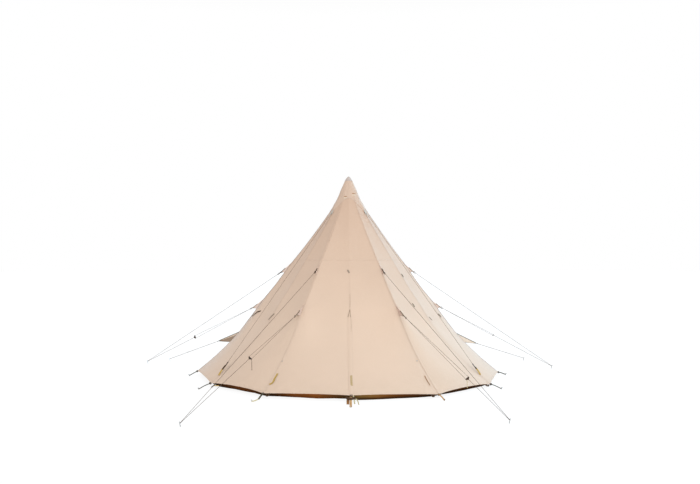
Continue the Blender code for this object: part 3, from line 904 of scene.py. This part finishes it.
def cap_point(degrees, height, out=0.0):
    """A point on the cap: it hugs the walls between its corners and stands off where it is pulled down."""
    half = SEAM_STEP / 2
    from_seam = (degrees + half) % SEAM_STEP - half
    flat = math.cos(math.radians(half)) / math.cos(math.radians(half - abs(from_seam)))
    radius = smooth(CAP_PROFILE, height) * flat
    from_edge = max(0.0, height - cap_edge(degrees))
    if height < WALL_TOP:
        wall = cloth(degrees / SEAM_STEP, height)
        close = math.hypot(wall.x, wall.y) + 0.0015
        radius = close + max(0.0, radius - close) * min(1.0, from_edge / CAP_BLEND)
    loose = min(1.0, radius / 0.1, from_edge / 0.1)
    ripple = abs(noise.noise(polar(degrees, 1.2, height * 2.2) * 2.0)) * 0.004 * loose
    return polar(degrees, radius + ripple + out, height)


def vent_cap():
    """The pointed hood over the open top."""
    shape = Shape("cap")

    def spot(way, degrees):
        edge = cap_edge(degrees)
        height = edge + (CAP_TIP - edge) * way
        flat = (math.radians(degrees) * CAP_CLOTH_RADIUS * (1 - way), (height - CAP_CORNER) * 1.25)
        return cap_point(degrees, height), flat

    shape.net([row / 26 for row in range(27)], [2.5 * column for column in range(145)], spot)
    piece = shape.made("vent_cap_sheet", "canvas_cap")
    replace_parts(piece, "vent_cap")
    return piece


def cap_binding():
    """The tape round the cap's edge, its tip, its corner fittings and the stitched bars on its front."""
    shape = Shape("binding")
    section = (
        (-0.0015, 0.018), (-0.002, 0.0), (0.0, -0.001),
        (0.0016, 0.0), (0.0014, 0.018), (0.0002, 0.019),
    )

    def edge_spot(part, degrees):
        away, rise = part
        point = cap_point(degrees, cap_edge(degrees) + rise, away)
        return point, (rise - 0.009, math.radians(degrees) * CAP_CLOTH_RADIUS)

    def tip_spot(way, column):
        height = CAP_TIP_CLOTH + (CAP_TIP - CAP_TIP_CLOTH) * way
        return cap_point(15 * column, height, 0.002 * (1 - way) + 0.0006), (column * 0.01, height)

    shape.net(section, [1.25 * column for column in range(289)], edge_spot)
    shape.net([row / 8 for row in range(9)], range(25), tip_spot, "tip")
    bar = ((-0.006, 0.0006), (0.0, 0.003), (0.006, 0.0006))
    for degrees, height, long, look in CAP_BARS:
        turns = [degrees - long / 2 + long * step / 10 for step in range(11)]
        rows = [[cap_point(turn, height + rise, out) for turn in turns] for rise, out in bar]
        shape.grid(rows, [[(rise, step * 0.006) for step in range(11)] for rise, _ in bar], look)
    corner = ((-0.030, -0.034), (0.030, -0.034), (0.032, 0.0), (0.020, 0.050), (-0.020, 0.050), (-0.032, 0.0))
    for seam in CAP_SEAMS:
        degrees = seam * SEAM_STEP
        here = cap_point(degrees, CAP_CORNER + 0.020, 0.003)
        up = (cap_point(degrees, CAP_CORNER + 0.05, 0.003) - here).normalized()
        shape.plate(here, polar(degrees + 90, 1, 0), up, corner, 0.005, "grey")
    return shape.made("cap_trim", "canvas_cap")


def cap_cords():
    """A cord from each corner of the cap down to a flat tensioner and a two-coloured strap above the hem."""
    buckle_outline = (
        (-0.016, 0.010), (-0.010, 0.016), (0.010, 0.016), (0.016, 0.010),
        (0.016, -0.074), (0.011, -0.080), (-0.011, -0.080), (-0.016, -0.074),
    )
    for seam, name, strap_long in CAP_CORNERS:
        degrees = seam * SEAM_STEP
        start = polar(degrees, along(CAP_PROFILE, CAP_CORNER) + 0.001, CAP_CORNER)
        end = polar(degrees, seam_radius(seam, CORD_FOOT) + 0.007, CORD_FOOT)
        way = (end - start).normalized()
        side = polar(degrees + 90, 1, 0)
        normal = way.cross(side).normalized()
        normal = normal if normal.z > 0 else -normal
        long = (end - start).length
        buckle = start + way * (long - strap_long)
        middle = start + way * (long - YELLOW_STRAP)
        shape = Shape("line")
        shape.cord([start + way * 0.045, buckle + way * 0.01], CORD_RADIUS * 0.8)
        strap = [start - way * 0.02 + normal * 0.002, start + way * 0.05 + normal * 0.001]
        shape.strap(strap, CAP_TAB_WIDTH, STRAP_THICK, normal, "grey")
        shape.ring(start + way * 0.056, normal, *CAP_RING, "grey")
        shape.plate(buckle, side, -way, buckle_outline, 0.006, "toggle")
        turned = (normal + Vector((0, -0.8 if end.y < 0 else 0.8, 0.2))).normalized()
        brown = [buckle + way * 0.06 + normal * 0.003, buckle + way * 0.10 + normal * 0.006]
        shape.strap(curve([*brown, middle + normal * 0.007]), CORD_STRAP_WIDTH, STRAP_THICK, turned, "umber")
        yellow = [middle - way * 0.012 + normal * 0.0085, middle.lerp(end, 0.5) + normal * 0.007]
        yellow.append(end - way * 0.006 + normal * 0.003)
        shape.strap(curve(yellow), CORD_STRAP_WIDTH, STRAP_THICK, turned, "ochre")
        piece = shape.made(f"cap_line_{name}", "line")
        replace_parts(piece, f"cap_cord_{name}")


# Guy lines


def slider(shape, centre, across, way, size):
    """A flat three-cornered line tensioner: two holes across the line, the third down it, each rimmed."""
    wide, back, front = size, -size * 0.35, size * 0.85
    outline = ((-wide, back), (-wide * 0.8, back * 1.6), (wide * 0.8, back * 1.6), (wide, back))
    outline += ((size * 0.22, front * 0.9), (0.0, front), (-size * 0.22, front * 0.9))
    shape.plate(centre, across, way, outline, 0.005, "toggle")
    normal = across.cross(way).normalized()
    for aside, ahead in ((-wide * HOLE_SHARE, 0.0), (wide * HOLE_SHARE, 0.0), (0.0, front * 0.62)):
        for lift in (-0.0026, 0.0026):
            hole = centre + across * aside + way * ahead + normal * lift
            shape.ring(hole, normal, *SLIDER_RIM, "toggle", sides=12)


def hitch(degrees, distance, towards):
    """Where a line meets the tent's side of a peg."""
    centre = polar(degrees, distance + PEG_LEAN * PEG_HITCH, PEG_HITCH)
    level = Vector((towards.x - centre.x, towards.y - centre.y, 0)).normalized()
    return centre + level * (PEG_RADIUS + 0.0015)


def knot(shape, centre, way, look="line"):
    """A small barrel of three turns round a line."""
    for shift in (-1, 0, 1):
        axis = way + Vector((0.08, 0.05, 0.03)) * shift
        middle = centre + way * KNOT_SIZE * 0.95 * shift
        shape.ring(middle, axis, KNOT_SIZE, KNOT_SIZE * 0.55, look, sides=10)


def gusset(shape, seam, height, way, reach):
    """A triangle of doubled canvas sewn to the seam and pulled out by its line; gives its tip."""
    here, _, up, _ = surface_frame(seam, height)
    tip = here + way * reach
    inwards = polar(seam * SEAM_STEP + 180, 1, 0)
    normal = way.cross(up).normalized()
    rows, places = [], []
    for row in range(9):
        level = row / 4 - 1
        base = surface_frame(seam, height + TAB_HALF_BASE * level)[0] + inwards * 0.002
        middle, spots = [], []
        for column in range(9):
            share = column / 8
            point = base.lerp(tip + up * 0.010 * level, share) - up * level * 0.05 * share * (1 - share)
            middle.append(point + normal * 0.004 * (1 - share) * math.sin(level * 3 + share * 4))
            spots.append((share * reach, level * 0.1 * (1 - 0.9 * share)))
        front = [point + normal * 0.0018 for point in middle]
        back = [point - normal * 0.0018 for point in middle]
        rows.append([*front, *back[::-1], front[0]])
        places.append([*spots, *spots[::-1], spots[0]])
    shape.grid(rows, places, "gusset")
    for row, turn in ((0, -1), (-1, 1)):
        front, back, spots = rows[row][:9], rows[row][9:18][::-1], places[row][:9]
        shape.grid([front, back][::turn], [spots, spots], "gusset")
    return tip


def tab(shape, seam, height, end, reach, look):
    """A gusset, the webbing legs along its edges and the ring that takes the line; gives the line's start."""
    here, _, up, _ = surface_frame(seam, height)
    way = (end - here).normalized()
    normal = way.cross(up).normalized()
    ring_at = here + way * reach
    tip = gusset(shape, seam, height, way, reach * GUSSET_SHARE)
    for level in (-1, 1):
        base = surface_frame(seam, height + TAB_HALF_BASE * level)[0]
        for face in (-normal, normal):
            leg = [base.lerp(tip, 0.62) + face * 0.003, tip + up * 0.008 * level + face * 0.003]
            leg.append(ring_at - way * 0.004 + face * 0.0012)
            shape.strap(curve(leg, 5), GUY_TAB_WIDTH, WEBBING_THICK, face, look)
    shape.ring(ring_at, normal, *TAB_RING, "umber")
    start = ring_at + way * 0.015
    knot(shape, start + way * 0.01, way)
    return start, way


def guy_pairs():
    """Each pair: its two tabs, the upper line, and the lower line, which is doubled down to its slider."""
    for seam, name, degrees, distance, upper, lower, upper_look, share, size, tail_long, tail_look in GUYS:
        end = hitch(degrees, distance, surface_frame(seam, LOWER_GUY)[0])
        shape = Shape("line")
        start, way = tab(shape, seam, UPPER_GUY, end, upper, upper_look)
        shape.cord([start, end + UP * 0.002], LINE_RADIUS)
        start, way = tab(shape, seam, LOWER_GUY, end, lower, "dun")
        stop = start.lerp(end, share)
        across = way.cross(SLIDER_FACING).normalized()
        across = across if across.z > 0 else -across
        for turn in (-1, 1):
            shape.cord([start, stop + across * size * HOLE_SHARE * turn - way * 0.004], LINE_RADIUS * 0.8)
        shape.cord([stop + way * 0.012, end - UP * 0.002], LINE_RADIUS)
        slider(shape, stop, across, way, size)
        if tail_long:
            side = polar(seam * SEAM_STEP + 90, 1, 0)
            low_side = stop - across * size * 0.6
            tail = [low_side + side * 0.003, low_side + side * 0.012 - UP * 0.02]
            tail += [tail[1] - UP * tail_long * part + side * 0.004 * part for part in (0.4, 0.7, 1.0)]
            shape.cord(curve(tail), LINE_RADIUS * 1.3, tail_look)
            knot(shape, tail[-1], UP, tail_look)
        knot(shape, end - way * 0.012, way)
        piece = shape.made(f"guy_lines_{name}", "line")
        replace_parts(piece, f"guy_pair_{name}")


# Hoods


def hood_surface(panel, tip, share, way):
    """A point on a hood: share runs along its edge on the wall, way from the wall to its tip."""
    low, high = HOOD_LEVELS
    ridge = 1 - abs(2 * share - 1)
    arch = 1 - abs(2 * share - 1) ** 1.25
    place = panel + HOOD_FEET[0] + (HOOD_FEET[1] - HOOD_FEET[0]) * share
    here, _, _, out = surface_frame(place, low + (high - low) * arch)
    hollow = 4 * way * (1 - way) * (0.010 * ridge - 0.012)
    return (here + out * 0.0015).lerp(tip, way) + out * hollow - UP * hollow * 0.2


def hood_sheet(panel, name, tip):
    """The awning: canvas with cheeks painted as shaded dark brown on the left hood and lit peach on the
    right.
    """
    shape = Shape("canvas")
    cheek = f"hood_{name}"

    def spot(row, column):
        way, share = row / 16 * HOOD_REACH, column / 32
        return hood_surface(panel, tip, share, way), ((share - 0.5) * (1 - way), way * 0.5)

    for first, last, look in ((0, 9, cheek), (9, 23, "canvas"), (23, 32, cheek)):
        shape.net(range(16, -1, -1), range(first, last + 1), spot, look)
    piece = shape.made(f"vent_hood_{name}_sheet", "canvas")
    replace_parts(piece, f"vent_hood_{name}")
    return piece


def hood_trim(panel, name, tip, way):
    """The tapes along the hood's edges and ridge, the strap and ring at its tip, and the netting below it."""
    trim = Shape("binding")
    for share in (0.0, 1.0):
        path = [hood_surface(panel, tip, share, step / 16 * HOOD_REACH) for step in range(17)]
        trim.strap(path, HOOD_EDGE_WIDTH, STRAP_THICK * 1.5, UP, "umber")
    ridge = [hood_surface(panel, tip, 0.5, step / 16 * 0.96) + UP * 0.001 for step in range(17)]
    trim.cord(ridge, HOOD_RIDGE_RADIUS, "olive")
    out = surface_frame(panel + 0.5, 0.6)[3]
    path = [hood_surface(panel, tip, step / 40, 0.004) + out * 0.001 for step in range(41)]
    trim.strap(path, HOOD_BASE_WIDTH, STRAP_THICK, out)
    path = [tip - way * 0.07 + UP * 0.004, tip - way * 0.01 + UP * 0.002, tip + way * 0.012]
    trim.strap(path, HOOD_TIP_WIDTH, STRAP_THICK, UP, "olive")
    trim.ring(tip + way * 0.014, UP, *HOOD_RING, "steel")
    low, high = HOOD_LEVELS

    def net_spot(rise, step):
        width = (HOOD_FEET[1] - HOOD_FEET[0]) * 0.5 * (1 - rise**1.25) * 0.9
        height = low + 0.025 + (high - low - 0.06) * rise
        here, _, _, away = surface_frame(panel + 0.5 + width * (step / 5 - 1), height)
        return here + away * 0.002, (step * 0.08, height)

    trim.net([row / 8 for row in range(9)], range(11), net_spot, "netting")
    return trim.made(f"vent_trim_{name}", "canvas")


def hoods():
    """The two low vents: each an awning, its trim and the line that holds its tip out."""
    pieces = []
    for panel, name, degrees, distance, tip_reach, tip_height in HOODS:
        tip = polar((panel + 0.5) * SEAM_STEP, tip_reach, tip_height)
        end = hitch(degrees, distance, tip)
        way = (end - tip).normalized()
        pieces.append((hood_sheet(panel, name, tip), hood_trim(panel, name, tip, way)))
        start = tip + way * 0.02
        line = Shape("line")
        line.cord([start, end], LINE_RADIUS * 1.15)
        knot(line, tip + way * 0.03, way)
        stop = start.lerp(end, HOOD_SLIDER_SHARE)
        slider(line, stop, way.cross(UP).normalized(), way, HOOD_SLIDER_SIZE)
        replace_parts(line.made(f"vent_line_{name}", "line"), f"vent_guy_{name}")
    return pieces


# Door, straps and anchors


def zip_flap():
    """The storm flap over the door zip."""
    shape = Shape("flap")
    section = ((-1.0, 0.0006), (-0.97, 0.0030), (-0.5, 0.0036), (0.0, 0.0042), (0.5, 0.0036), (0.97, 0.0030))
    section += ((1.0, 0.0006),)

    def spot(height, part):
        across, lift = part
        narrow = min(1.0, (FLAP_TOP + 0.012 - height) / 0.06)
        base = cloth(across * FLAP_HALF_WIDTH * narrow / panel_width(height), height)
        lift += 0.0008 * noise.noise(Vector((across * 2, 0, height * 9)))
        flat = (across * FLAP_HALF_WIDTH, height * CLOTH_PER_HEIGHT)
        return base + surface_frame(0, height)[3] * lift, flat

    heights = [FLAP_BOTTOM + (FLAP_TOP - FLAP_BOTTOM) * step / 46 for step in range(47)]
    shape.net(heights, section, spot)
    piece = shape.made("zip_flap_sheet", "canvas")
    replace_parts(piece, "door_zip_flap")
    return piece


def sewn_strap(shape, spots, width, look):
    """A strap lying on the canvas through (place, height) spots."""
    path = curve([Vector((place, height, 0)) for place, height in spots], 6)
    points, faces = [], []
    for step, spot in enumerate(path):
        here, _, _, out = surface_frame(spot.x, spot.y)
        points.append(here + out * (0.002 + 0.004 * math.sin(math.pi * step / (len(path) - 1))))
        faces.append(out)
    shape.strap(points, width, STRAP_THICK, faces, look)


def side_loop(shape, seam):
    """Two legs of narrow webbing spread from one point on a seam."""
    here, aside, _, out = surface_frame(seam, LOOP_HEIGHT)
    down = surface_frame(seam, LOOP_HEIGHT - LOOP_LONG)[0]
    for turn in (-1, 1):
        path = [here + out * 0.003, here.lerp(down, 0.5) + aside * (turn * 0.010 - 0.006) + out * 0.006]
        path.append(down + aside * (turn * 0.020 - 0.012) + out * 0.006)
        shape.strap(curve(path), LOOP_WIDTH, STRAP_THICK, out, "tan")


def wall_fittings():
    """Small straps, loops, toggles and eyelets on the walls."""
    shape = Shape("dun")
    for look, width, spots in SEWN_STRAPS:
        sewn_strap(shape, spots, width, look)
    for place in EYELETS:
        here, _, _, out = surface_frame(place, EYELET_HEIGHT)
        shape.ring(here + out * 0.002, out, *EYELET_RING, "steel", sides=16)
    toggle = ((-0.010, -0.034), (0.010, -0.034), (0.013, 0.0), (0.010, 0.034), (-0.010, 0.034), (-0.013, 0.0))
    for seam in TOGGLE_SEAMS:
        side_loop(shape, seam)
        here, aside, up, out = surface_frame(seam - 0.03, TOGGLE_HEIGHT)
        across, way = (aside + up * 0.5).normalized(), (up - aside * 0.5).normalized()
        shape.plate(here + out * 0.006, across, way, toggle, 0.007)
    return shape.made("wall_fittings", "webbing")


def anchors():
    """At each hem corner: its straps, a dark loop on the hem and the head of its own peg."""
    for corner in range(SIDES):
        degrees = corner * SEAM_STEP
        top = corner_height(corner)
        base = seam_radius(corner, top)
        side = polar(degrees + 90, 1, 0)
        out = polar(degrees, 1, 0)
        straps = ANCHOR_STRAPS.get(corner, PLAIN_ANCHOR)
        own_look, _, own_spots = straps[0]
        shape = Shape(own_look)
        for look, width, spots in straps:
            path = [polar(degrees, base + away, height) + side * aside for away, aside, height in spots]
            shape.strap(curve(path, 6), width, WEBBING_THICK, STRAP_FACING, look)
        for turn in (-1, 1):
            loop_at = polar(degrees, base + 0.004, top - 0.004) + side * 0.014 * turn
            shape.ring(loop_at, side + out * 0.3 * turn, *ANCHOR_RING, "toggle", sides=14)
        away, aside, _ = own_spots[-1]
        peg = polar(degrees, base + away - 0.004, 0) + side * aside
        turns = (2.0, 1.4, 0.7, 0, -0.7, -1.4, -2.0)
        middle = peg + UP * 0.026
        loop = [middle + out * 0.010 * math.cos(turn) + side * 0.012 * math.sin(turn) for turn in turns]
        shape.strap(curve(loop, 4), PEG_LOOP_WIDTH, STRAP_THICK, UP)
        hook = ((0.0, 0.0), (0.030, 0.0), (0.036, 0.006), (0.036, 0.014), (0.026, 0.018))
        shape.cord(curve([peg + UP * high + out * ahead for high, ahead in hook], 5), HOOK_RADIUS, "steel")
        piece = shape.made(f"anchor_{corner + 1:02d}", "webbing")
        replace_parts(piece, f"hem_anchor_{corner + 1:02d}")


# Studio


def studio():
    """A pale floor and sky, a broad key light from the front right and a weaker cool one from the right."""
    floor = Shape("floor")
    turns = [360 * column / 96 for column in range(97)]
    rows = [[polar(turn, radius, FLOOR_HEIGHT) for turn in turns] for radius in FLOOR_RADII]
    floor.grid(rows, [[(point.x, point.y) for point in row] for row in rows])
    mesh = bpy.data.meshes.new("floor")
    mesh.from_pydata(floor.points, [], floor.faces)
    mesh.materials.append(floor_look())
    piece = bpy.data.objects.new("floor", mesh)
    bpy.context.scene.collection.objects.link(piece)
    world = bpy.data.worlds.new("studio")
    world.use_nodes = True
    tree = world.node_tree
    sky = tree.nodes["Background"]
    sky.inputs["Color"].default_value = (1, 1, 1, 1)
    split = tree.nodes.new("ShaderNodeSeparateXYZ")
    fade = tree.nodes.new("ShaderNodeMapRange")
    for socket, value in zip(fade.inputs[1:5], (*SKY_FADE, 1.0, SKY_TOP)):
        socket.default_value = value
    tree.links.new(tree.nodes.new("ShaderNodeTexCoord").outputs["Generated"], split.inputs[0])
    tree.links.new(split.outputs["Z"], fade.inputs[0])
    tree.links.new(fade.outputs[0], sky.inputs["Strength"])
    bpy.context.scene.world = world
    for name, azimuth, elevation, energy, colour in LIGHTS:
        light = bpy.data.lights.new(name, "SUN")
        light.energy = energy
        light.angle = math.radians(LIGHT_WIDTH)
        light.color = colour
        holder = bpy.data.objects.new(name, light)
        level = math.radians(elevation)
        towards = polar(azimuth, math.cos(level), math.sin(level))
        holder.rotation_euler = towards.to_track_quat("Z", "Y").to_euler()
        bpy.context.scene.collection.objects.link(holder)
    bpy.context.scene.view_settings.view_transform = "Standard"


NODE_LOOKS = {
    "guy_peg": "steel",
    "vent_peg": "steel",
    "pole_foot": "plastic",
    "pole_head": "plastic",
    "pole_lower_tube": "tube",
    "pole_upper_tube": "tube",
}


def polish_nodes():
    """The pole and the pegs keep their own shapes and get finished materials."""
    for name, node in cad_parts.items():
        for start, look in NODE_LOOKS.items():
            if name.startswith(start):
                node.data.materials[0] = LOOKS[look]


add_camera()
# The width of a gore and the way up to it, by height
LEVELS = [step / 20 for step in range(69)]
WIDTHS = [(height, panel_width(height)) for height in LEVELS]
SLANTS = [(height, slant(height)) for height in LEVELS]
make_looks()
walls = canvas_walls()
trim_pieces = [seam_tapes(), hem_band(), wall_fittings()]
skirt_piece = skirt()
cap = vent_cap()
cap_trim = cap_binding()
cap_cords()
guy_pairs()
hood_pieces = hoods()
flap = zip_flap()
anchors()
polish_nodes()
studio()
